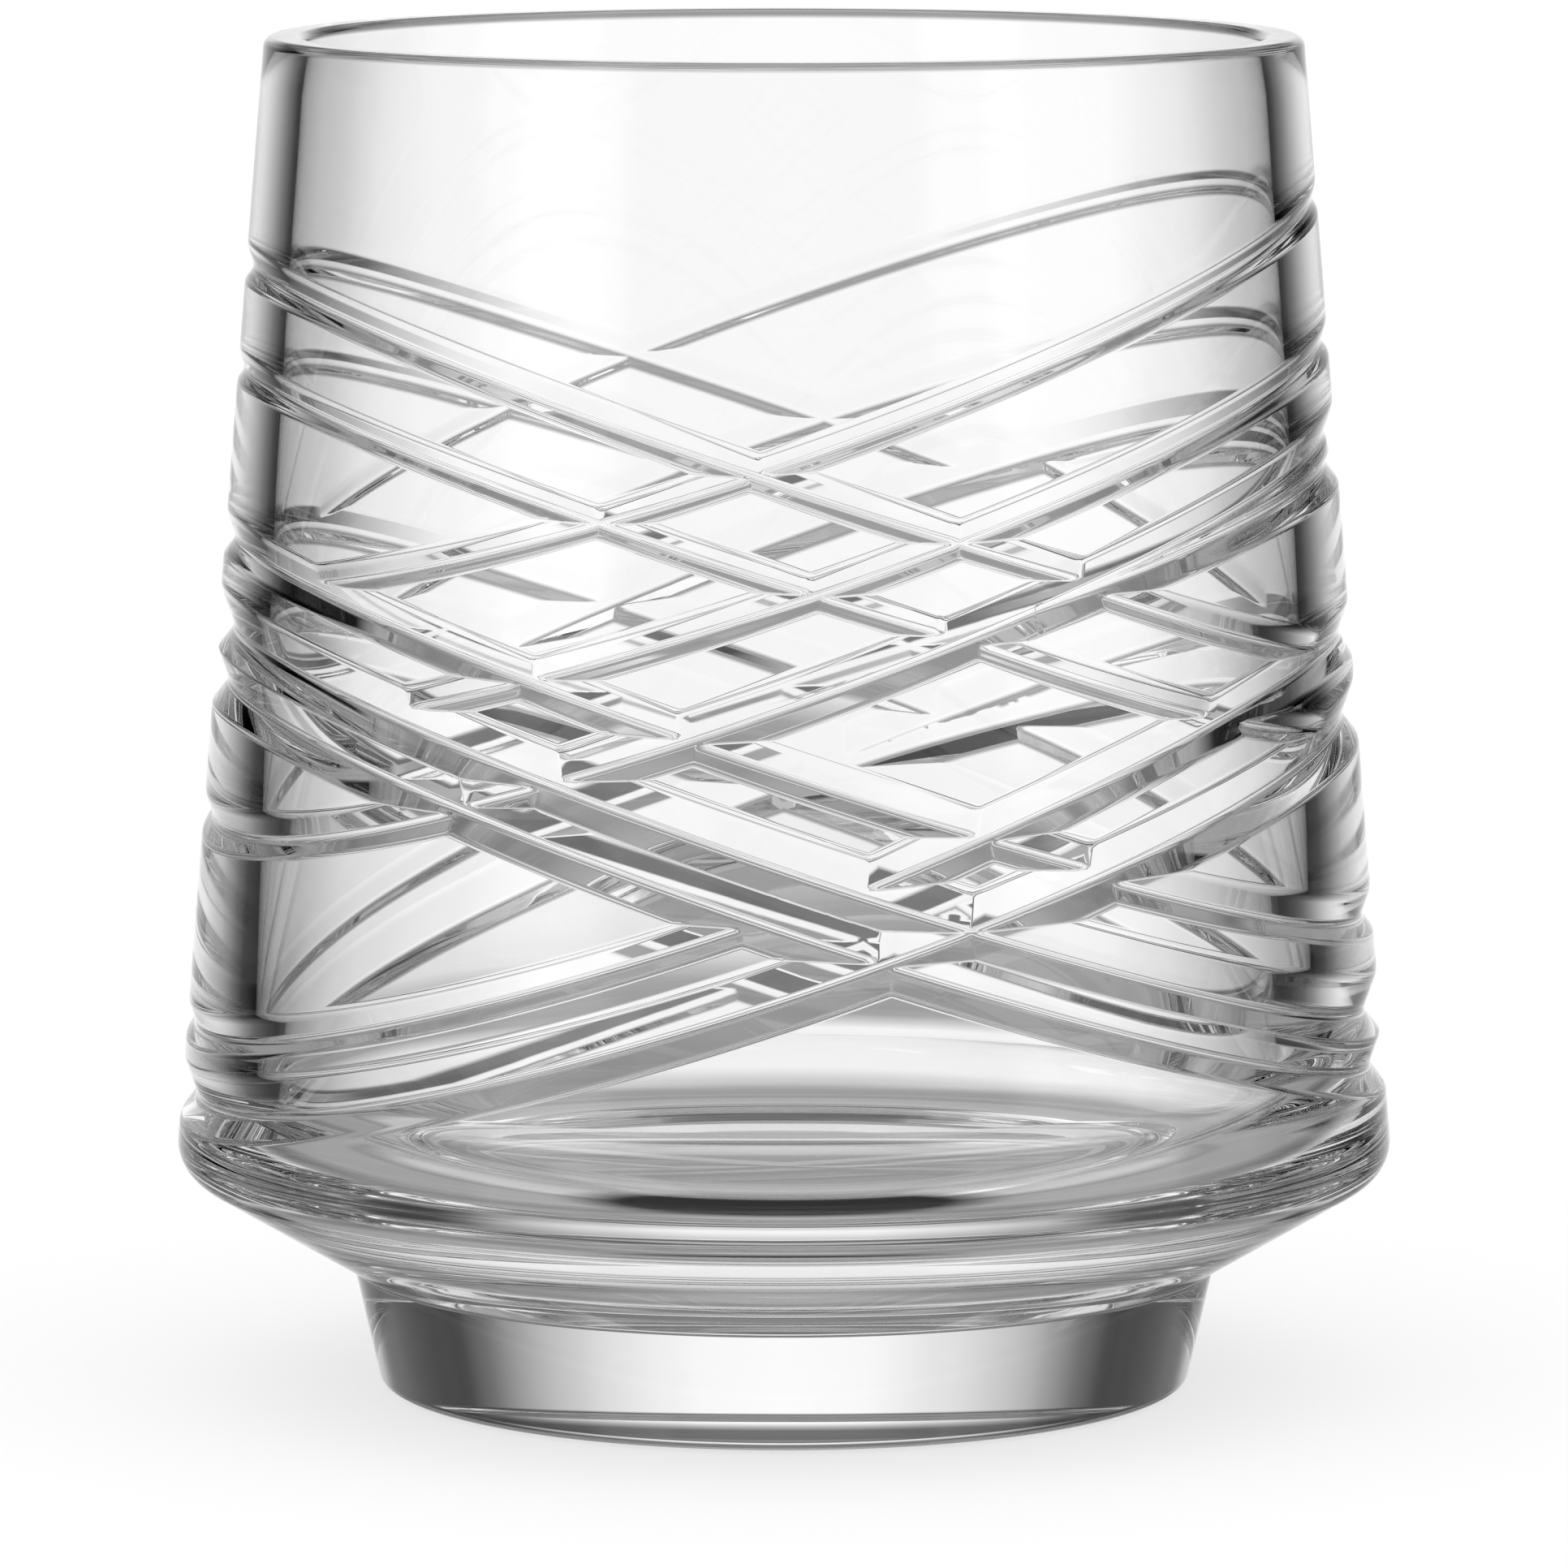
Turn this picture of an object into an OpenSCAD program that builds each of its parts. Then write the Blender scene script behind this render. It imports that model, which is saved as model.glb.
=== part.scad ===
// Heavy cut-crystal whiskey tumbler, in millimetres, standing on Z = 0 with its axis on Z.
// It is one solid blank: a leaning wall, a rounded shoulder, a sloping underside and a foot.
// V-shaped mitre cuts cross each other round the wall. Each cut lies on a tilted plane, so its
// height follows a sine wave round the axis. Bearings are in degrees: 0 is the front (-Y), 90 is +X.

/* [Body] */
// Height from the table to the rim
height = 100; // [92:1:110]
// Radius of the shoulder, the widest part
shoulder_r = 45; // [43:0.5:47]
// Height of the widest part
shoulder_z = 18.3; // [17:0.1:19]
// Radius that rounds the shoulder
shoulder_round = 3; // [2:0.5:4]
// Inward lean of the wall, in degrees
wall_lean = 4.8; // [4:0.1:5.5]
// Slope of the underside above the foot, in degrees
under_slope = 30.7; // [25:0.1:34]

/* [Rim] */
// Inner radius at the rim
mouth_r = 35.1; // [33:0.1:36]
// Radius that rounds both edges of the rim
rim_round = 0.8; // [0.4:0.1:1.2]

/* [Cavity] */
// Height of the inner floor
floor_z = 14; // [13:0.5:16]
// Radius of the cavity just above the floor corner
cavity_r = 39.5; // [38:0.1:40]
// Outward bulge of the cavity wall between the rim and the floor corner
cavity_bulge = 0.5; // [0:0.1:0.6]
// Width of the rounded corner between the cavity wall and the floor
corner_w = 13.3; // [8:0.1:15]
// Height of that corner
corner_h = 10.8; // [6:0.1:12]

/* [Foot] */
// Radius of the foot where the underside meets it
foot_top_r = 32; // [30:0.5:34]
// Radius that the foot's side would reach on the table
foot_r = 30; // [28:0.5:31]
// Radius that rounds the bottom edge of the foot
foot_round = 1; // [0.5:0.1:1.5]
// Radius of the shallow hollow ground into the foot
hollow_r = 24; // [18:1:26]
// Depth of that hollow at the axis
hollow_depth = 0.9; // [0.4:0.1:1.2]

/* [Mitre cuts] */
// Angle between each wall of a cut and the upright, in degrees
cut_slope = 29; // [26:0.5:34]
// How deep the cuts go, as a share of the depths in the table
cut_share = 1; // [0.8:0.05:1.1]
// Degrees between the sections of a cut
cut_step = 8; // [4:1:12]

/* [Hidden] */

// Each cut: mean height, rise, bearing of the mean height on the climb, first and last bearing,
// depth, and the depth at its last bearing if that differs.
// A cut of 360 degrees is a closed ring, and every other one ends in the cut that it meets.
CUTS = [
    // falling from left to right across the front
    [69.6, -13.6, 4, -202.6, 32.7, 0.66],
    [62.7, -13.0, 4, -187.9, 18.0, 0.56],
    [49.2, -14.1, 5, -202.1, 33.1, 0.84],
    [42.4, -14.4, 5, -180, 180, 1.27],
    [38.4, -14.4, 4, -180, 180, 1.15],
    [73.2, -17.9, -4, 31.5, 149.4, 0.66],
    [67.7, -17.8, -9, 18.2, 82.5, 0.6],
    [50.2, -15.0, 0, 31.8, 154.0, 0.88],
    // climbing from left to right across the front
    [74.6, 13.9, 11, -57.3, 253.3, 0.55],
    [64.3, 13.7, 9, -44.3, 238.2, 0.66],
    [56.5, 14.6, 6, -33.6, 223.6, 1.0],
    [56.8, 12.0, 3, 25.9, 145.5, 1.0, 0.6],
    [39.0, 17.2, -3, 6.8, 174.5, 1.0],
    [36.1, 14.2, 6, -180, 180, 1.27],
    [42.3, 15.0, 6, -167.4, -2.6, 0.72],
    [58.7, 16.3, 13, -129.7, -32.8, 0.84]
];

// Facets round the axis, and straight pieces in each rounded edge
turn_facets = 180;
edge_pieces = 6;
corner_pieces = 10;
wall_pieces = 8;
// How far a cutter stands proud of the wall, and degrees over which a cut's last depth sets in
proud = 0.5;
ease = 20;

function circle_at(r, z, size, bearing) = [r + size * cos(bearing), z + size * sin(bearing)];
// Points of an arc round [r, z], from one bearing to another
function arc(r, z, size, from, to, pieces) =
    [for (i = [0:pieces]) circle_at(r, z, size, from + (to - from) * i / pieces)];

// Shoulder arc: its centre, and the ends where the wall and the underside touch it
arc_r = shoulder_r - shoulder_round;
wall_foot = circle_at(arc_r, shoulder_z, shoulder_round, wall_lean);
under_bearing = under_slope - 90;
under_top = circle_at(arc_r, shoulder_z, shoulder_round, under_bearing);
foot_top_z = under_top[1] - (under_top[0] - foot_top_r) * tan(under_slope);
foot_lean = atan((foot_top_r - foot_r) / foot_top_z);

// Outer radius of the wall at a height
function wall_r(z) = wall_foot[0] - (z - wall_foot[1]) * tan(wall_lean);

// Centres of the rounded edges
rim_z = height - rim_round;
rim_outer_r = wall_r(rim_z) - rim_round / cos(wall_lean);
rim_inner_r = mouth_r + rim_round;
foot_edge_r = foot_r + foot_round * tan(foot_lean) - foot_round / cos(foot_lean);

// Cavity wall between the rim and the floor corner, bulging outward by a half wave
corner_z = floor_z + corner_h;
function cavity_point(t) = [
    mouth_r + (cavity_r - mouth_r) * t + cavity_bulge * sin(180 * t),
    rim_z + (corner_z - rim_z) * t
];

// Corner between that wall and the floor, a quarter of an ellipse
function corner_point(bearing) = [
    cavity_r - corner_w + corner_w * cos(bearing),
    corner_z + corner_h * sin(bearing)
];

// Hollow in the foot, a shallow part of a sphere
hollow_size = (hollow_r * hollow_r + hollow_depth * hollow_depth) / (2 * hollow_depth);
hollow_angle = asin(hollow_r / hollow_size);

// Half section of the blank, from the axis on the inner floor out, down and back to the axis
blank_outline = concat(
    [[0, floor_z]],
    [for (i = [0:corner_pieces]) corner_point(-90 + 90 * i / corner_pieces)],
    [for (i = [1:wall_pieces]) cavity_point(1 - i / wall_pieces)],
    arc(rim_inner_r, rim_z, rim_round, 180, 90, edge_pieces),
    arc(rim_outer_r, rim_z, rim_round, 90, wall_lean, edge_pieces),
    arc(arc_r, shoulder_z, shoulder_round, wall_lean, under_bearing, edge_pieces),
    [[foot_top_r, foot_top_z]],
    arc(foot_edge_r, foot_round, foot_round, -foot_lean, -90, edge_pieces),
    arc(0, hollow_depth - hollow_size, hollow_size, 90 - hollow_angle, 90, edge_pieces)
);

// Path of a cut on the wall, its direction, and the directions out of the wall and across it
function cut_z(cut, a) = cut[0] + cut[1] * sin(a - cut[2]);
function on_wall(cut, a) = let (z = cut_z(cut, a), r = wall_r(z)) [r * sin(a), -r * cos(a), z];
function outward(a) = [cos(wall_lean) * sin(a), -cos(wall_lean) * cos(a), sin(wall_lean)];
function along(cut, a) = on_wall(cut, a + 0.5) - on_wall(cut, a - 0.5);
function across(cut, a) = let (side = cross(outward(a), along(cut, a))) side / norm(side);

// Depth of a cut at a bearing
function cut_depth(cut, a) = cut_share
    * (cut[5] + (len(cut) < 7 ? 0 : (cut[6] - cut[5]) * max(0, 1 - (cut[4] - a) / ease)));

// How far each wall of a cut reaches along the leaning wall, for each millimetre out of its tip
upper_reach = 1 / tan(cut_slope - wall_lean);
lower_reach = 1 / tan(cut_slope + wall_lean);

// Section of a cutter: the tip under the wall, and two corners proud of it
function cut_section(cut, a) =
    let (
        base = on_wall(cut, a),
        out = outward(a),
        up = across(cut, a),
        size = cut_depth(cut, a) + proud,
        tip = base - cut_depth(cut, a) * out
    )
    [tip, tip + size * (out + upper_reach * up), tip + size * (out - lower_reach * up)];

module mitre_cutter(cut) {
    sweep = cut[4] - cut[3];
    closed = sweep == 360;
    steps = ceil(sweep / cut_step);
    rings = closed ? steps : steps + 1;
    points = [for (i = [0:rings - 1]) each cut_section(cut, cut[3] + sweep * i / steps)];
    sides = [
        for (i = [0:steps - 1], k = [0:2])
            let (
                near = 3 * i,
                far = 3 * ((i + 1) % rings),
                next = (k + 1) % 3
            )
            each [[near + k, far + k, far + next], [near + k, far + next, near + next]]
    ];
    last = 3 * (rings - 1);
    caps = closed ? [] : [[0, 1, 2], [last + 2, last + 1, last]];
    polyhedron(points = points, faces = concat(sides, caps), convexity = 6);
}

module blank() {
    rotate_extrude($fn = turn_facets) polygon(blank_outline);
}

module tumbler() {
    color([0.86, 0.89, 0.9])
        difference() {
            blank();
            for (cut = CUTS) mitre_cutter(cut);
        }
}

tumbler();
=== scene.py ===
"""Cut-crystal whiskey tumbler on a pale floor.

The glass is one mesh in the shape of the CAD blank: a turned rim, cavity, shoulder and foot, joined to a
wall whose V-shaped mitre cuts are laid out on the wall's own (bearing, height) plane. Lengths in the shape
code are millimetres and bearings are degrees, with 0 at the front (-Y) and 90 at the right (+X).
"""
import math

import bpy
import numpy as np
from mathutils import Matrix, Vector, geometry


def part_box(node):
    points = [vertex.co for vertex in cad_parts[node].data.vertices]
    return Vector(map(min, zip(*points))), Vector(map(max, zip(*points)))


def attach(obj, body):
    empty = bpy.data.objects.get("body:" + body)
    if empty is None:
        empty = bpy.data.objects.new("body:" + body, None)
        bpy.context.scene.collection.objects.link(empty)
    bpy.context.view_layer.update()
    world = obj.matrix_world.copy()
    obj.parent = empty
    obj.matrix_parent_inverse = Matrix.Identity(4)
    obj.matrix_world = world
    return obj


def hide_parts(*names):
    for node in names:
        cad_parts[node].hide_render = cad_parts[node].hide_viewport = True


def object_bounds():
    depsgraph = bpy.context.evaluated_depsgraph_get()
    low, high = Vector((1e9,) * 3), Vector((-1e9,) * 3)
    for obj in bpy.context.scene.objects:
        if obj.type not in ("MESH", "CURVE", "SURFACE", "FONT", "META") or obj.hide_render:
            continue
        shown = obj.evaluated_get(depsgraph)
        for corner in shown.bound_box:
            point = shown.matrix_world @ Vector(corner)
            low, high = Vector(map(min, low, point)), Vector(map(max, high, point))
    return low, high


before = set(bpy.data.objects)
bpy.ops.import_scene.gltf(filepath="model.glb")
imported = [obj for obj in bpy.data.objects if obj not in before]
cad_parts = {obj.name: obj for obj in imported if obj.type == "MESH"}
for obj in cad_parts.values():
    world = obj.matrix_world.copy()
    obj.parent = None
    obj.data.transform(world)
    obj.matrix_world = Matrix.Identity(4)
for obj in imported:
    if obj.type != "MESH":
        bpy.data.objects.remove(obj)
CAD_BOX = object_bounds()
MM = 0.001

# ---- Driving sizes: the overall ones come from the frame, the others follow part.scad ----

LOW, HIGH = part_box("tumbler")
HEIGHT = (HIGH[2] - LOW[2]) / MM
SHOULDER_R = (HIGH[0] - LOW[0]) / 2 / MM
SHOULDER_Z = 18.3
SHOULDER_ROUND = 3.0
WALL_LEAN = 4.8
UNDER_SLOPE = 30.7
MOUTH_R = 35.1
RIM_ROUND = 0.8
FLOOR_Z = 14.0
CAVITY_R = 39.5
CAVITY_BULGE = 0.5
CORNER_WIDTH = 13.3
CORNER_HEIGHT = 10.8
FOOT_TOP_R = 32.0
FOOT_R = 30.0
FOOT_ROUND = 1.0
FOOT_CREASE = 0.6
HOLLOW_R = 24.0
HOLLOW_DEPTH = 0.9

CUT_SLOPE = 29.0         # degrees between each wall of a cut and the upright
CUT_TIP_ROUND = 0.4
CUT_EDGE_ROUND = 0.18    # of depth, where a cut's wall meets the uncut wall
CUT_MITRE_ROUND = 0.05
CUT_EASE = 20            # degrees over which a cut's last depth sets in

# Each cut: mean height, rise, bearing of the mean height on the climb, first and last bearing, depth,
# and the depth at its last bearing if that differs.
CUTS = [
    (69.6, -13.6, 4, -202.6, 32.7, 0.66),
    (62.7, -13.0, 4, -187.9, 18.0, 0.56),
    (49.2, -14.1, 5, -202.1, 33.1, 0.84),
    (42.4, -14.4, 5, -180, 180, 1.27),
    (38.4, -14.4, 4, -180, 180, 1.15),
    (73.2, -17.9, -4, 31.5, 149.4, 0.66),
    (67.7, -17.8, -9, 18.2, 82.5, 0.6),
    (50.2, -15.0, 0, 31.8, 154.0, 0.88),
    (74.6, 13.9, 11, -57.3, 253.3, 0.55),
    (64.3, 13.7, 9, -44.3, 238.2, 0.66),
    (56.5, 14.6, 6, -33.6, 223.6, 1.0),
    (56.8, 12.0, 3, 25.9, 145.5, 1.0, 0.6),
    (39.0, 17.2, -3, 6.8, 174.5, 1.0),
    (36.1, 14.2, 6, -180, 180, 1.27),
    (42.3, 15.0, 6, -167.4, -2.6, 0.72),
    (58.7, 16.3, 13, -129.7, -32.8, 0.84),
]

TURN_STEP = 1.5          # degrees between the columns of the mesh
CAVITY_STEPS = 24        # steps down the cavity's wall, and as many round its corner
COLUMN_GAP = 0.15        # a column stays this many degrees from the ends of a line
LAND_STEP = 2.2          # height between the rows of the uncut wall
LAND_GAP = 0.35          # the uncut wall's own points stay this far from a cut's lines
MEETING_SLACK = 1.0      # degrees past a cut's end at which a crossing still counts
MITRE_REACH = 45         # degrees to each side of a crossing that are searched for its lines
MITRE_STEP = 0.25        # degrees between the places tried
MITRE_LEVELS = 7         # depths at which a mitre's line is found
SEAM_GAP = 1.0           # degrees on both sides of the open edge that are kept free of upright lines
WELD = 0.001             # points closer than this become one


# ---- Turned outline: points (radius, height) with their outward normals ----

def arc(r, z, size, start, end, pieces, hollow=False):
    """Points of an arc round (r, z) with normals pointing away from it, or towards it if hollow."""
    points = []
    for i in range(pieces + 1):
        a = math.radians(start + (end - start) * i / pieces)
        side = -1 if hollow else 1
        points.append((r + size * math.cos(a), z + size * math.sin(a),
                       side * math.cos(a), side * math.sin(a)))
    return points


def run(first, last, normal, pieces):
    """Points along a straight stretch, without its ends."""
    points = []
    for i in range(1, pieces):
        t = i / pieces
        points.append((first[0] + (last[0] - first[0]) * t, first[1] + (last[1] - first[1]) * t, *normal))
    return points


LEAN = math.radians(WALL_LEAN)
ARC_R = SHOULDER_R - SHOULDER_ROUND
WALL_FOOT_R = ARC_R + SHOULDER_ROUND * math.cos(LEAN)
WALL_FOOT_Z = SHOULDER_Z + SHOULDER_ROUND * math.sin(LEAN)


def wall_r(z):
    """Outer radius of the uncut wall."""
    return WALL_FOOT_R - (z - WALL_FOOT_Z) * math.tan(LEAN)


RIM_Z = HEIGHT - RIM_ROUND
RIM_OUTER_R = wall_r(RIM_Z) - RIM_ROUND / math.cos(LEAN)
WALL_TOP_Z = RIM_Z + RIM_ROUND * math.sin(LEAN)


def outline_above():
    """From the top of the wall over the rim, down the cavity and along its floor to the axis."""
    points = arc(RIM_OUTER_R, RIM_Z, RIM_ROUND, WALL_LEAN, 90, 8)
    points += arc(MOUTH_R + RIM_ROUND, RIM_Z, RIM_ROUND, 90, 180, 8)
    corner_z = FLOOR_Z + CORNER_HEIGHT
    for i in range(1, CAVITY_STEPS):
        t = i / CAVITY_STEPS
        r = MOUTH_R + (CAVITY_R - MOUTH_R) * t + CAVITY_BULGE * math.sin(math.pi * t)
        slope_r = CAVITY_R - MOUTH_R + CAVITY_BULGE * math.pi * math.cos(math.pi * t)
        slope_z = corner_z - RIM_Z
        size = math.hypot(slope_r, slope_z)
        points.append((r, RIM_Z + slope_z * t, slope_z / size, -slope_r / size))
    # the corner is a quarter of an ellipse
    for i in range(CAVITY_STEPS + 1):
        a = math.pi / 2 * i / CAVITY_STEPS
        nr, nz = -CORNER_HEIGHT * math.cos(a), CORNER_WIDTH * math.sin(a)
        size = math.hypot(nr, nz)
        points.append((CAVITY_R - CORNER_WIDTH + CORNER_WIDTH * math.cos(a),
                       corner_z - CORNER_HEIGHT * math.sin(a), nr / size, nz / size))
    points += run(points[-1], (0, FLOOR_Z), (0, 1), 8)
    return points + [(0, FLOOR_Z, 0, 1)]


def outline_below():
    """From the bottom of the wall round the shoulder and the foot, and along the hollow to the axis."""
    slope = math.radians(UNDER_SLOPE)
    points = arc(ARC_R, SHOULDER_Z, SHOULDER_ROUND, WALL_LEAN, UNDER_SLOPE - 90, 14)
    top_r, top_z = points[-1][:2]
    foot_top_z = top_z - (top_r - FOOT_TOP_R) * math.tan(slope)
    lean = math.atan((FOOT_TOP_R - FOOT_R) / foot_top_z)
    # the ground crease between the underside and the foot, a tiny hollow arc that touches both
    under = (math.sin(slope), -math.cos(slope))
    side = (math.cos(lean), -math.sin(lean))
    half = math.acos(under[0] * side[0] + under[1] * side[1]) / 2
    middle = (under[0] + side[0], under[1] + side[1])
    size = math.hypot(*middle)
    reach = FOOT_CREASE / math.cos(half)
    centre = (FOOT_TOP_R + middle[0] / size * reach, foot_top_z + middle[1] / size * reach)
    crease = arc(*centre, FOOT_CREASE, math.degrees(math.atan2(-under[1], -under[0])),
                 math.degrees(math.atan2(-side[1], -side[0])), 4, hollow=True)
    points += run(points[-1], crease[0], under, 6) + crease
    edge_r = FOOT_R + FOOT_ROUND * math.tan(lean) - FOOT_ROUND / math.cos(lean)
    edge = arc(edge_r, FOOT_ROUND, FOOT_ROUND, -math.degrees(lean), -90, 8)
    points += run(crease[-1], edge[0], side, 4) + edge
    ball = (HOLLOW_R ** 2 + HOLLOW_DEPTH ** 2) / (2 * HOLLOW_DEPTH)
    angle = math.degrees(math.asin(HOLLOW_R / ball))
    hollow = arc(0, HOLLOW_DEPTH - ball, ball, 90 - angle, 90, 12, hollow=True)
    points += run(edge[-1], hollow[0], (0, -1), 3) + hollow
    return points


# ---- Mitre cuts on the wall's (bearing, height) plane ----

def path_z(cut, a):
    """Height of a cut's tip at a bearing."""
    return cut[0] + cut[1] * np.sin(np.radians(a - cut[2]))


def stretch(cut, a):
    """How much longer a step across the cut is when it is taken straight up the wall."""
    z = path_z(cut, a)
    slope = cut[1] * np.cos(np.radians(a - cut[2])) / wall_r(z)
    return np.sqrt(1 + slope ** 2)


def meetings(one, two):
    """Bearings, from -180 to 180, where the paths of two cuts cross."""
    across = one[1] * np.exp(-1j * math.radians(one[2])) - two[1] * np.exp(-1j * math.radians(two[2]))
    size, turn = abs(across), np.angle(across)
    ratio = (two[0] - one[0]) / size
    if abs(ratio) >= 1:
        return []
    a = math.asin(ratio)
    return [(math.degrees(b - turn) + 180) % 360 - 180 for b in (a, math.pi - a)]


def has(cut, a, slack=0.0):
    """Whether a cut runs past a bearing."""
    return (a - cut[3] + slack) % 360 <= cut[4] - cut[3] + 2 * slack


def tip_depth(cut, a):
    """Depth of a cut's tip below the uncut wall."""
    if len(cut) < 7:
        return np.full_like(a, cut[5], dtype=float)
    left = (cut[4] - a) % 360
    return cut[5] + (cut[6] - cut[5]) * np.clip(1 - left / CUT_EASE, 0, 1)


UPPER_SLOPE = math.tan(math.radians(CUT_SLOPE) - LEAN)
LOWER_SLOPE = math.tan(math.radians(CUT_SLOPE) + LEAN)


def at_depth(cut, a, level, side):
    """Height at which a cut's upper (side 1) or lower (side -1) wall is this deep."""
    slope = UPPER_SLOPE if side > 0 else LOWER_SLOPE
    return path_z(cut, a) + side * (tip_depth(cut, a) - level) / slope * stretch(cut, a)


def soft_edge(x, size):
    """x where it is positive and nothing where it is negative, with the corner rounded."""
    return np.where(x < -size, 0, np.where(x > size, x, (x + size) ** 2 / (4 * size)))


def depth(a, z):
    """Depth of the wall's surface below the uncut wall."""
    total = np.zeros_like(z)
    tip, both = CUT_TIP_ROUND, (UPPER_SLOPE + LOWER_SLOPE) / 4
    for cut in CUTS:
        sweep = cut[4] - cut[3]
        inside = 1.0 if sweep == 360 else ((a - cut[3]) % 360 <= sweep).astype(float)
        off = (z - path_z(cut, a)) / stretch(cut, a)
        rise = np.where(off > 0, UPPER_SLOPE * off, -LOWER_SLOPE * off)
        soft = (UPPER_SLOPE - LOWER_SLOPE) / 2 * off + both * (off ** 2 / tip + tip)
        rise = np.where(np.abs(off) < tip, soft, rise)
        own = inside * soft_edge(tip_depth(cut, a) - rise, CUT_EDGE_ROUND)
        near = np.minimum(CUT_MITRE_ROUND, np.minimum(total, own))
        gap = np.maximum(near - np.abs(total - own), 0)
        total = np.maximum(total, own) + gap ** 2 / (4 * np.maximum(near, 1e-9))
    return total


def wall_point(a, z):
    """Points of the cut wall, as an (n, 3) array."""
    angle = np.radians(a)
    d = depth(a, z)
    r = wall_r(z) - d * math.cos(LEAN)
    return np.stack([r * np.sin(angle), -r * np.cos(angle), z - d * math.sin(LEAN)], axis=-1)


def wall_normal(a, z, step=0.004):
    """Unit normals of the cut wall, from small steps round it and up it."""
    turn = math.degrees(step / SHOULDER_R)
    round_it = wall_point(a + turn, z) - wall_point(a - turn, z)
    up_it = wall_point(a, z + step) - wall_point(a, z - step)
    n = np.cross(round_it, up_it)
    return n / np.linalg.norm(n, axis=1, keepdims=True)


class Sheet:
    """Points and lines on the wall's (bearing, height) plane, cut open at the back."""

    def __init__(self):
        self.index = {}
        self.points = []
        self.lines = []

    def point(self, a, z):
        """Number of the point at this place, made if it isn't there yet."""
        key = (round(a, 5), round(z, 5))
        if key not in self.index:
            self.index[key] = len(self.points)
            self.points.append(key)
        return self.index[key]

    def piece(self, a, b, z, y):
        """A straight piece from (a, z) to (b, y), turned into the range -180 to 180."""
        shift = 360 * round((a + b) / 2 / 360)
        start, end = self.point(a - shift, z), self.point(b - shift, y)
        if start != end:
            self.lines.append((start, end))

    def line(self, bearings, heights):
        """A line through points at these bearings, split where it passes the open edge at the back."""
        for a, b, z, y in zip(bearings[:-1], bearings[1:], heights[:-1], heights[1:]):
            seam = 180 + 360 * math.floor((max(a, b) - 180) / 360)
            if min(a, b) + 1e-6 < seam < max(a, b) - 1e-6:
                middle = z + (y - z) * (seam - a) / (b - a)
                self.piece(a, seam, z, middle)
                self.piece(seam, b, middle, y)
            else:
                self.piece(a, b, z, y)


def columns(first, last):
    """The mesh's own bearings between two bearings, with both ends."""
    low = math.floor(first / TURN_STEP) + 1
    high = math.ceil(last / TURN_STEP) - 1
    inner = [k * TURN_STEP for k in range(low, high + 1)]
    inner = [a for a in inner if a - first > COLUMN_GAP and last - a > COLUMN_GAP]
    return np.array([first, *inner, last])


def draw_cut(sheet, cut):
    """The lines along a cut: its tip and both edges, each with the two ends of its rounding."""
    a = columns(cut[3], cut[4])
    for off in (-CUT_TIP_ROUND, 0, CUT_TIP_ROUND):
        sheet.line(a, path_z(cut, a) + off * stretch(cut, a))
    for side in (1, -1):
        for level in (-CUT_EDGE_ROUND, 0, CUT_EDGE_ROUND):
            sheet.line(a, at_depth(cut, a, level, side))


def draw_mitre(sheet, one, two, bearing):
    """The lines where the walls of two crossing cuts meet, with the two ends of their rounding."""
    span = bearing + np.arange(-MITRE_REACH, MITRE_REACH + MITRE_STEP / 2, MITRE_STEP)
    deepest = min(float(tip_depth(one, bearing)), float(tip_depth(two, bearing)))
    for side_one, side_two in ((1, 1), (-1, -1), (1, -1), (-1, 1)):
        found = []
        for level in np.linspace(0, deepest, MITRE_LEVELS):
            high = at_depth(one, span, level, side_one)
            gap = high - at_depth(two, span, level, side_two)
            turns = np.where(gap[:-1] * gap[1:] <= 0)[0]
            if len(turns) == 0:
                continue
            k = turns[np.argmin(np.abs(span[turns] - bearing))]
            part = gap[k] / (gap[k] - gap[k + 1]) if gap[k] != gap[k + 1] else 0
            found.append((span[k] + part * MITRE_STEP, high[k] + part * (high[k + 1] - high[k])))
        if len(found) < 2:
            continue
        a, z = np.array(found).T
        upright = side_one == side_two
        # an upright line beside the open edge would cut slivers off it
        if upright and np.any(np.abs(np.abs(a) - 180) < SEAM_GAP):
            continue
        soft = 2 * CUT_MITRE_ROUND
        for off in (-soft, 0, soft):
            turn = math.degrees(off / wall_r(z.mean()))
            sheet.line(a + (turn if upright else 0), z + (0 if upright else off))


def draw_wall():
    """All lines and points of the cut wall."""
    sheet = Sheet()
    turn = columns(-180, 180)
    for z in (WALL_FOOT_Z, WALL_TOP_Z):
        sheet.line(turn, np.full(len(turn), z))
    for cut in CUTS:
        draw_cut(sheet, cut)
    for i, one in enumerate(CUTS):
        for two in CUTS[i + 1:]:
            for bearing in meetings(one, two):
                if has(one, bearing, MEETING_SLACK) and has(two, bearing, MEETING_SLACK):
                    draw_mitre(sheet, one, two, bearing)
    taken = np.array(sheet.points)
    rows = np.arange(WALL_FOOT_Z + LAND_STEP, WALL_TOP_Z - LAND_STEP / 2, LAND_STEP)
    for a in turn:
        near = taken[np.abs(taken[:, 0] - a) < 0.6 * TURN_STEP][:, 1]
        for z in rows:
            if np.min(np.abs(near - z)) > LAND_GAP:
                sheet.point(float(a), float(z))
    for edge in (-180.0, 180.0):
        on_edge = sorted({p[1] for p in sheet.points if abs(abs(p[0]) - 180) < 1e-6})
        for low, high in zip(on_edge[:-1], on_edge[1:]):
            sheet.lines.append((sheet.point(edge, low), sheet.point(edge, high)))
    return sheet


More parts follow.
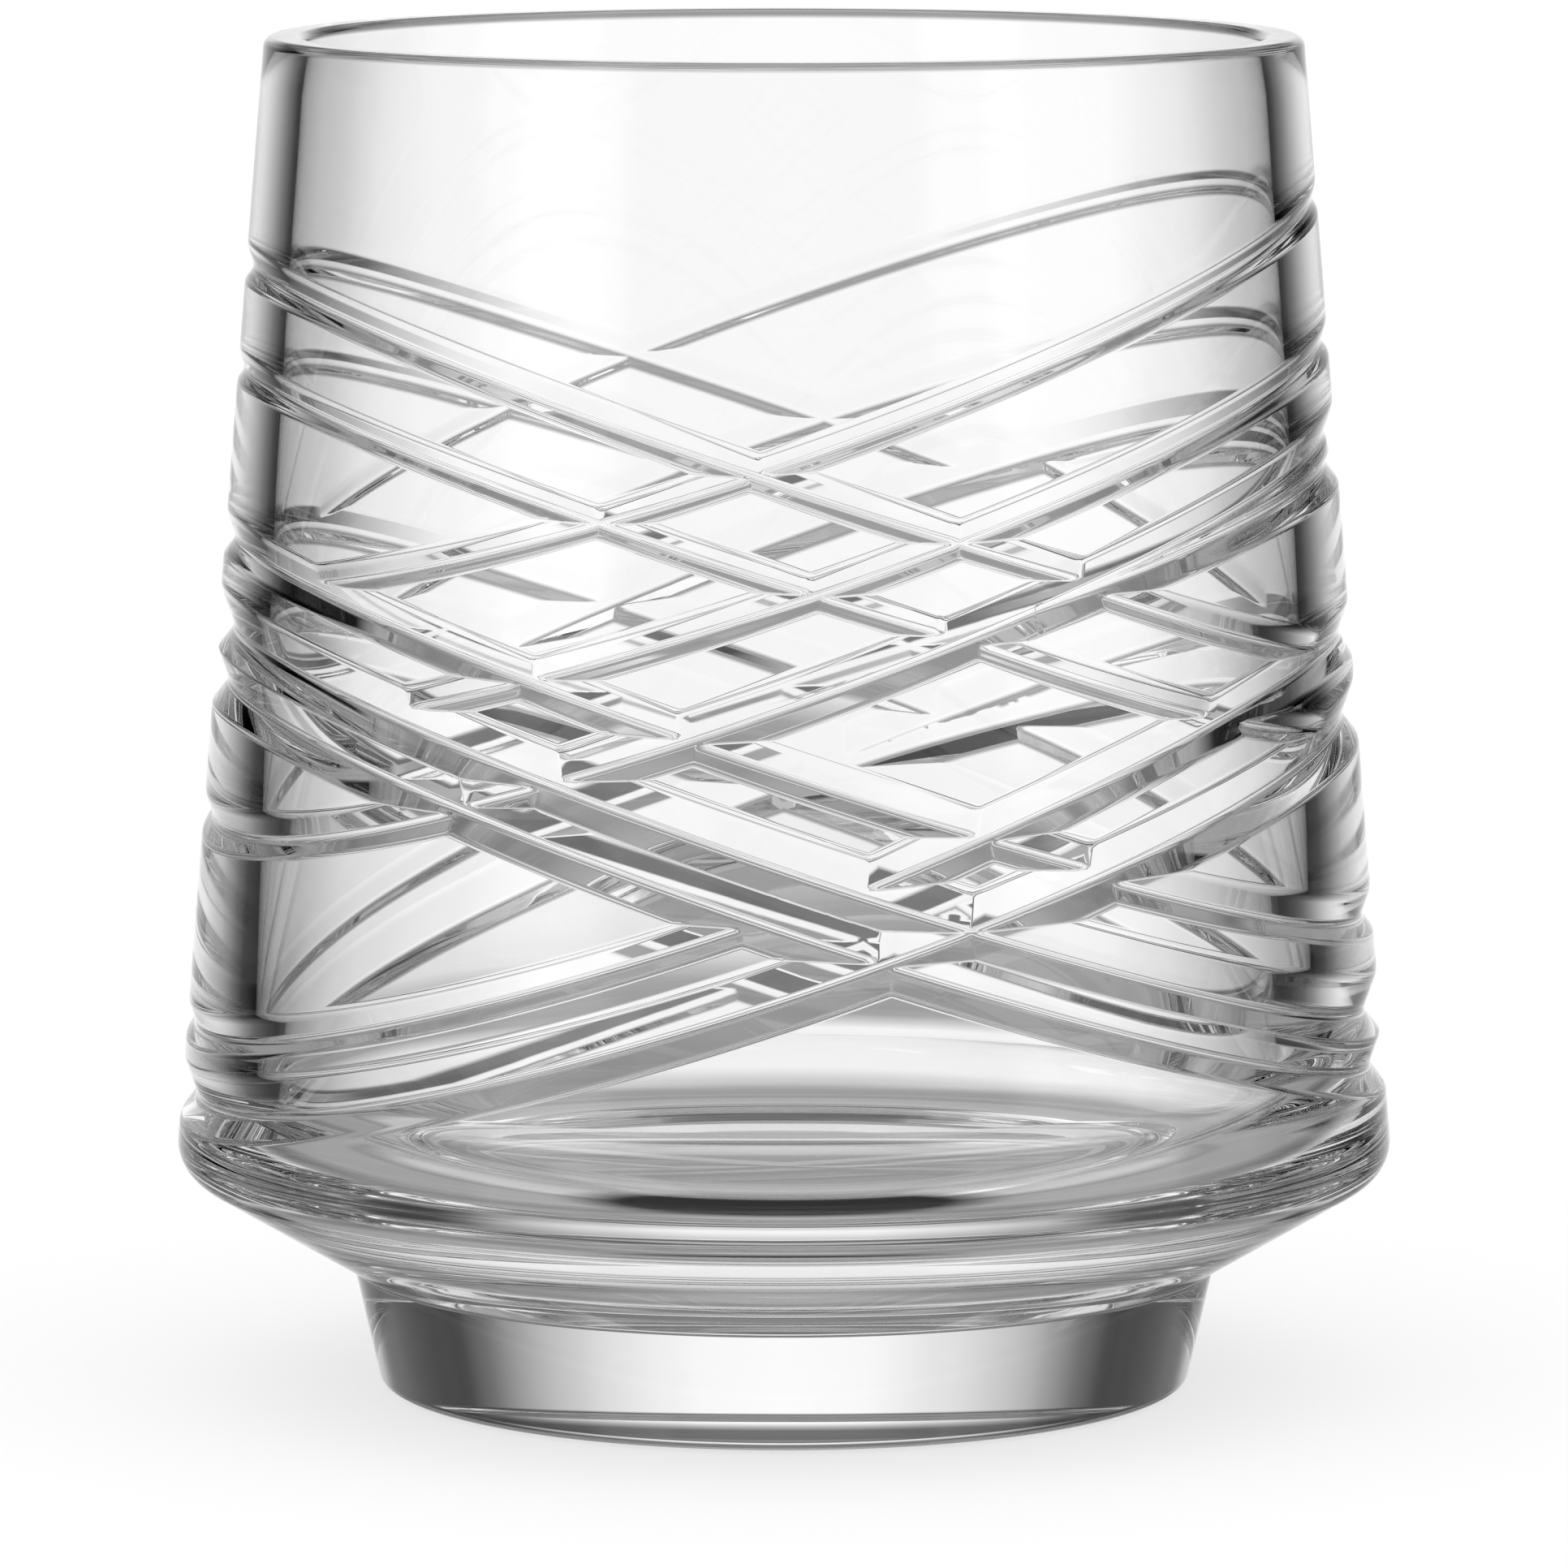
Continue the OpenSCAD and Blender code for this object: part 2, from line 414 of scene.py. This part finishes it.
def wall_mesh():
    """The cut wall: (bearings, heights, triangles), with the open edge at the back closed."""
    sheet = draw_wall()
    scale = math.radians(SHOULDER_R)
    flat = [Vector((a * scale, z)) for a, z in sheet.points]
    made, _, faces, *_ = geometry.delaunay_2d_cdt(flat, sheet.lines, [], 0, WELD, False)
    at = np.array([tuple(v) for v in made])
    at[:, 0] /= scale
    faces = np.array(faces)
    right = np.where(np.abs(at[:, 0] - 180) < WELD)[0]
    left = np.where(np.abs(at[:, 0] + 180) < WELD)[0]
    swap = np.arange(len(at))
    for r in right:
        gap = np.abs(at[left, 1] - at[r, 1])
        if gap.min() < WELD:
            swap[r] = left[gap.argmin()]
    faces = swap[faces]
    kept = (faces[:, 0] != faces[:, 1]) & (faces[:, 1] != faces[:, 2]) & (faces[:, 2] != faces[:, 0])
    return at, faces[kept]


def turned(outline, ring, start_index):
    """Points, normals and faces of a turned stretch whose first ring already exists as vertex numbers."""
    angle = np.radians(np.arange(len(ring)) * TURN_STEP - 180)
    points, normals, faces = [], [], []
    last = list(ring)
    count = start_index
    for r, z, nr, nz in outline[1:]:
        if r < 1e-6:
            points.append([[0, 0, z]])
            normals.append([[0, 0, nz]])
            for k in range(len(ring)):
                faces.append((last[k], last[(k + 1) % len(ring)], count))
            break
        points.append(np.stack([r * np.sin(angle), -r * np.cos(angle), np.full(len(ring), z)], axis=-1))
        normals.append(np.stack([nr * np.sin(angle), -nr * np.cos(angle), np.full(len(ring), nz)], axis=-1))
        this = list(range(count, count + len(ring)))
        for k in range(len(ring)):
            n = (k + 1) % len(ring)
            faces.append((last[k], last[n], this[n], this[k]))
        last, count = this, count + len(ring)
    return np.concatenate(points), np.concatenate(normals), faces


def ring_of(at, z):
    """Vertex numbers of the wall's ring at a height, in order of bearing from -180."""
    found = [(a, i) for i, (a, y) in enumerate(at) if abs(y - z) < WELD / 10 and a < 180 - WELD]
    return [i for _, i in sorted(found)]


def make_tumbler():
    """The whole glass as one closed mesh with exact normals."""
    at, triangles = wall_mesh()
    points = wall_point(at[:, 0], at[:, 1])
    normals = wall_normal(at[:, 0], at[:, 1])
    faces = [tuple(int(i) for i in f) for f in triangles]
    for outline, z in ((outline_above(), WALL_TOP_Z), (outline_below(), WALL_FOOT_Z)):
        ring = ring_of(at, z)
        more, more_normals, more_faces = turned(outline, ring, len(points))
        up = z == WALL_TOP_Z
        faces += [f if up else tuple(reversed(f)) for f in more_faces]
        points = np.concatenate([points, more])
        normals = np.concatenate([normals, more_normals])
    used = np.zeros(len(points), bool)
    for f in faces:
        used[list(f)] = True
    number = np.cumsum(used) - 1
    faces = [tuple(int(number[i]) for i in f) for f in faces]
    mesh = bpy.data.meshes.new("tumbler_glass")
    mesh.from_pydata((points[used] * MM).tolist(), [], faces)
    mesh.polygons.foreach_set("use_smooth", [True] * len(mesh.polygons))
    mesh.update()
    mesh.normals_split_custom_set_from_vertices(normals[used].tolist())
    glass = bpy.data.objects.new("tumbler_glass", mesh)
    bpy.context.collection.objects.link(glass)
    return glass


# ---- Materials ----

GLASS_IOR = 1.54
WAVE_SCALE = 45          # waves of the polished surface, per metre
WAVE_DETAIL = 1.5
WAVE_STRENGTH = 0.02
SHADOW_PASS = 0.9        # share of the light on its way to the floor that one surface lets through
FLOOR_WHITE = 0.92


def node_material(name):
    """A new material with an empty node tree."""
    material = bpy.data.materials.new(name)
    material.use_nodes = True
    tree = material.node_tree
    tree.nodes.clear()
    return material, tree.nodes, tree.links


def crystal():
    """Clear polished crystal: refracting, with the faint waviness of hand-finished glass."""
    material, nodes, links = node_material("crystal")
    out = nodes.new("ShaderNodeOutputMaterial")
    glass = nodes.new("ShaderNodeBsdfPrincipled")
    glass.inputs["Base Color"].default_value = (1, 1, 1, 1)
    glass.inputs["Transmission Weight"].default_value = 1.0
    glass.inputs["IOR"].default_value = GLASS_IOR
    glass.inputs["Roughness"].default_value = 0.0
    where = nodes.new("ShaderNodeTexCoord")
    wave = nodes.new("ShaderNodeTexNoise")
    wave.inputs["Scale"].default_value = WAVE_SCALE
    wave.inputs["Detail"].default_value = WAVE_DETAIL
    bump = nodes.new("ShaderNodeBump")
    bump.inputs["Strength"].default_value = WAVE_STRENGTH
    bump.inputs["Distance"].default_value = MM
    links.new(where.outputs["Object"], wave.inputs["Vector"])
    links.new(wave.outputs["Fac"], bump.inputs["Height"])
    links.new(bump.outputs["Normal"], glass.inputs["Normal"])
    # light on its way to the floor goes straight through the glass, so the shadow is pale
    clear = nodes.new("ShaderNodeBsdfTransparent")
    clear.inputs["Color"].default_value = (SHADOW_PASS, SHADOW_PASS, SHADOW_PASS, 1)
    path = nodes.new("ShaderNodeLightPath")
    mix = nodes.new("ShaderNodeMixShader")
    passing = nodes.new("ShaderNodeMath")
    passing.operation = "MAXIMUM"
    links.new(path.outputs["Is Shadow Ray"], passing.inputs[0])
    links.new(path.outputs["Is Diffuse Ray"], passing.inputs[1])
    links.new(passing.outputs["Value"], mix.inputs["Fac"])
    links.new(glass.outputs["BSDF"], mix.inputs[1])
    links.new(clear.outputs["BSDF"], mix.inputs[2])
    links.new(mix.outputs["Shader"], out.inputs["Surface"])
    return material


def floor_material():
    """Pale floor that only the camera sees; the glass sees the studio's light through it."""
    material, nodes, links = node_material("pale_floor")
    out = nodes.new("ShaderNodeOutputMaterial")
    pale = nodes.new("ShaderNodeBsdfDiffuse")
    pale.inputs["Color"].default_value = (FLOOR_WHITE, FLOOR_WHITE, FLOOR_WHITE, 1)
    through = nodes.new("ShaderNodeBsdfTransparent")
    path = nodes.new("ShaderNodeLightPath")
    mix = nodes.new("ShaderNodeMixShader")
    links.new(path.outputs["Is Camera Ray"], mix.inputs["Fac"])
    links.new(through.outputs["BSDF"], mix.inputs[1])
    links.new(pale.outputs["BSDF"], mix.inputs[2])
    links.new(mix.outputs["Shader"], out.inputs["Surface"])
    return material


# ---- Studio ----

FLOOR_SIZE = 60.0
FLOOR_DROP = 0.2 * MM    # keeps the floor clear of the foot
SKY_STRENGTH = 2.95
SKY_SPREAD = 140         # degrees across
SKY_TILT = 12            # degrees towards the front
BACKDROP_WHITE = 1.05

# Light round the glass, as (degrees from straight behind it, strength): a panel behind it, boxes at its
# right and left, and a weak fill below level between them
BACK_LIGHT = [(0, 1.28), (8, 1.24), (13, 1.07), (18, 0.9), (24, 0.66), (29, 0.42), (34, 0.17),
              (39, 0.03), (46, 0.0), (180, 0.0)]
RIGHT_LIGHT = [(0, 0.0), (72, 0.0), (82, 0.8), (98, 0.8), (102, 1.7), (130, 1.7), (136, 0.8), (180, 0.8)]
LEFT_LIGHT = [(0, 0.0), (72, 0.0), (82, 0.8), (118, 0.8), (124, 1.7), (142, 1.7), (148, 0.8), (180, 0.8)]
LOW_LIGHT = [(0, 0.0), (24, 0.0), (40, 0.5), (68, 0.5), (82, 0.1), (100, 0.0), (180, 0.0)]
# How much of each is left by height, as (degrees above level, share)
BACK_SHARE = [(-90, 0.0), (-72, 0.0), (-64, 0.42), (-42, 0.42), (-32, 0.3), (-21, 0.36), (-10, 0.92),
              (-8, 1.0), (9, 1.0), (12, 0.6), (16, 0.15), (21, 0.12), (24, 0.5), (27, 0.5), (30, 0.03),
              (90, 0.06)]
FRONT_SHARE = [(-90, 0.0), (-72, 0.0), (-64, 0.8), (-36, 0.8), (-28, 0.45), (-15, 0.85), (12, 0.85),
               (18, 0.2), (90, 0.15)]
LOW_SHARE = [(-90, 0.0), (-72, 0.0), (-64, 0.9), (-18, 0.9), (-12, 0.0), (90, 0.0)]
# Light from above, the same all round, as (degrees above level, strength)
TOP_LIGHT = [(-90, 0.0), (25, 0.0), (40, 0.1), (60, 0.2), (90, 0.22)]


def curve_node(nodes, steps, low, high):
    """A float curve through (position, value) steps, for positions scaled from low..high to 0..1."""
    node = nodes.new("ShaderNodeFloatCurve")
    curve = node.mapping.curves[0]
    top = max(value for _, value in steps)
    places = [((x - low) / (high - low), value / top) for x, value in steps]
    curve.points[0].location = places[0]
    curve.points[1].location = places[-1]
    for place in places[1:-1]:
        curve.points.new(*place)
    for p in curve.points:
        p.handle_type = "VECTOR"
    node.mapping.update()
    return node, top


def studio_world():
    """White to the camera; to the glass, soft boxes, fill and dark gaps by bearing and height."""
    world = bpy.data.worlds.new("studio")
    bpy.context.scene.world = world
    world.use_nodes = True
    nodes, links = world.node_tree.nodes, world.node_tree.links
    nodes.clear()
    out = nodes.new("ShaderNodeOutputWorld")
    where = nodes.new("ShaderNodeTexCoord")
    split = nodes.new("ShaderNodeSeparateXYZ")
    links.new(where.outputs["Generated"], split.inputs["Vector"])

    def maths(operation, *values):
        node = nodes.new("ShaderNodeMath")
        node.operation = operation
        for socket, value in zip(node.inputs, values):
            if isinstance(value, (int, float)):
                socket.default_value = value
            else:
                links.new(value, socket)
        return node.outputs["Value"]

    def curve(steps, low, high, place):
        node, top = curve_node(nodes, steps, low, high)
        links.new(place, node.inputs["Value"])
        return maths("MULTIPLY", node.outputs["Value"], top)

    bearing = maths("ARCTAN2", split.outputs["X"], split.outputs["Y"])
    turn = maths("DIVIDE", maths("ABSOLUTE", bearing), math.pi)
    rise = maths("ADD", 0.5, maths("DIVIDE", maths("ARCSINE", split.outputs["Z"]), math.pi))
    on_right = maths("GREATER_THAN", bearing, 0)
    right = maths("MULTIPLY", curve(RIGHT_LIGHT, 0, 180, turn), on_right)
    left = maths("MULTIPLY", curve(LEFT_LIGHT, 0, 180, turn), maths("SUBTRACT", 1, on_right))
    front = maths("MULTIPLY", maths("ADD", right, left), curve(FRONT_SHARE, -90, 90, rise))
    back = maths("MULTIPLY", curve(BACK_LIGHT, 0, 180, turn), curve(BACK_SHARE, -90, 90, rise))
    low = maths("MULTIPLY", curve(LOW_LIGHT, 0, 180, turn), curve(LOW_SHARE, -90, 90, rise))
    total = maths("ADD", maths("ADD", front, back), maths("ADD", low, curve(TOP_LIGHT, -90, 90, rise)))
    shaped = nodes.new("ShaderNodeBackground")
    links.new(total, shaped.inputs["Strength"])
    white = nodes.new("ShaderNodeBackground")
    white.inputs["Strength"].default_value = BACKDROP_WHITE
    path = nodes.new("ShaderNodeLightPath")
    mix = nodes.new("ShaderNodeMixShader")
    links.new(path.outputs["Is Camera Ray"], mix.inputs["Fac"])
    links.new(shaped.outputs["Background"], mix.inputs[1])
    links.new(white.outputs["Background"], mix.inputs[2])
    links.new(mix.outputs["Shader"], out.inputs["Surface"])


def make_floor():
    """The floor, just under the foot."""
    mesh = bpy.data.meshes.new("floor")
    half = FLOOR_SIZE / 2
    corners = [(-half, -half, 0), (half, -half, 0), (half, half, 0), (-half, half, 0)]
    mesh.from_pydata(corners, [], [(0, 1, 2, 3)])
    floor = bpy.data.objects.new("floor", mesh)
    floor.location.z = CAD_BOX[0][2] - FLOOR_DROP
    bpy.context.collection.objects.link(floor)
    mesh.materials.append(floor_material())


def sky_light():
    """A wide, soft light from above that only the floor feels."""
    data = bpy.data.lights.new("sky_box", "SUN")
    data.energy = SKY_STRENGTH
    data.angle = math.radians(SKY_SPREAD)
    light = bpy.data.objects.new("sky_box", data)
    light.rotation_euler = (math.radians(SKY_TILT), 0, 0)
    light.visible_glossy = False
    light.visible_transmission = False
    bpy.context.collection.objects.link(light)


CAMERA_DISTANCE = 7.705      # in heights of the glass, from its axis
CAMERA_HEIGHT = 1.42         # in heights of the glass
CAMERA_PITCH = 7.21          # degrees below level
CAMERA_LENS = 240.8          # millimetres, on a sensor 36 wide
CAMERA_SENSOR = 36


def make_camera():
    """The camera, in front of the glass and looking slightly down on it."""
    data = bpy.data.cameras.new("camera")
    data.sensor_width = CAMERA_SENSOR
    data.lens = CAMERA_LENS
    data.clip_start = 0.01
    camera = bpy.data.objects.new("camera", data)
    camera.location = (0, -CAMERA_DISTANCE * HEIGHT * MM, CAMERA_HEIGHT * HEIGHT * MM)
    camera.rotation_euler = (math.radians(90 - CAMERA_PITCH), 0, 0)
    bpy.context.collection.objects.link(camera)
    bpy.context.scene.camera = camera


def main():
    """Build the studio and the glass, hang the glass on the root body and hide the CAD tumbler."""
    scene = bpy.context.scene
    scene.view_settings.view_transform = "Standard"
    scene.cycles.max_bounces = 32
    scene.cycles.transmission_bounces = 32
    scene.cycles.transparent_max_bounces = 16
    scene.cycles.glossy_bounces = 16
    scene.cycles.caustics_reflective = False
    scene.cycles.caustics_refractive = False
    make_camera()
    studio_world()
    make_floor()
    sky_light()
    glass = make_tumbler()
    glass.data.materials.append(crystal())
    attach(glass, "root")
    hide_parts("tumbler")


main()
